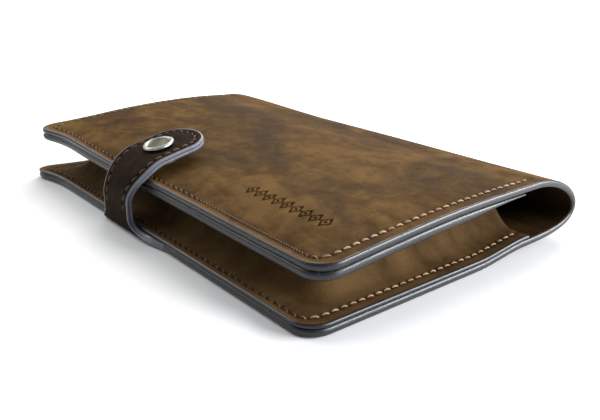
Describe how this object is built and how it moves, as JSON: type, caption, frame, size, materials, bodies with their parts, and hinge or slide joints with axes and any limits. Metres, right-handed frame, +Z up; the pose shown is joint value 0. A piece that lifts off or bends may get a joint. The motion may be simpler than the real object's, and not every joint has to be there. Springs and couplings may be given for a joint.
{
  "type": "phone case",
  "caption": "Book-style folding leather phone case with a formed side pocket, rounded spine, stitched covers and a snap strap over the fore edge.",
  "frame": {"origin": "on the surface that the closed case lies on, under the middle of its box", "axes": "+Z up through the covers, +X towards the spine, +Y along the spine"},
  "size_m": [0.0972, 0.14, 0.0245],
  "materials": {
    "leather": "matt waxed nubuck with cloudy dark and light patches, edges painted dark grey",
    "strap_leather": "the same leather, darker, with dark painted edges",
    "thread": "waxed tan thread",
    "snap_metal": "antique brass, brighter on the rim"
  },
  "bodies": {
    "back": {"back_cover": "leather", "pocket_panel": "leather", "pocket_seam_thread": "thread"},
    "spine_low": {"spine_lower": "leather"},
    "spine_high": {"spine_upper": "leather"},
    "front": {"front_cover": "leather", "front_lining": "leather", "front_seam_thread": "thread", "snap_stud": "snap_metal", "snap_post": "snap_metal"},
    "strap_riser": {"strap_riser_leather": "strap_leather", "strap_riser_lining": "strap_leather", "strap_thread_near": "thread", "strap_thread_far": "thread"},
    "strap_tab": {"strap_tab_leather": "strap_leather", "strap_tab_lining": "strap_leather", "strap_tab_thread": "thread", "snap_cap": "snap_metal", "snap_socket": "snap_metal", "snap_spring": "snap_metal"}
  },
  "joints": [
    {"name": "spine_bend_1", "type": "hinge", "parent": "back", "child": "spine_low", "pos_m": [0.04539, 0, 0.00341], "axis": [0, 1, 0], "range_deg": [0, 60]},
    {"name": "spine_bend_2", "type": "hinge", "parent": "spine_low", "child": "spine_high", "pos_m": [0.04878, 0, 0.00832], "axis": [0, 1, 0], "range_deg": [0, 60]},
    {"name": "spine_bend_3", "type": "hinge", "parent": "spine_high", "child": "front", "pos_m": [0.04289, 0, 0.01603], "axis": [0, 1, 0], "range_deg": [0, 60]},
    {"name": "strap_root", "type": "hinge", "parent": "back", "child": "strap_riser", "pos_m": [-0.04717, 0, 0.00059], "axis": [0, -1, 0], "range_deg": [0, 90]},
    {"name": "strap_fold", "type": "hinge", "parent": "strap_riser", "child": "strap_tab", "pos_m": [-0.04555, 0, 0.01661], "axis": [0, -1, 0], "range_deg": [0, 77]}
  ],
  "couplings": [
    {"joint": "spine_bend_2", "follows": "spine_bend_1", "ratio": 1},
    {"joint": "spine_bend_3", "follows": "spine_bend_1", "ratio": 1}
  ]
}
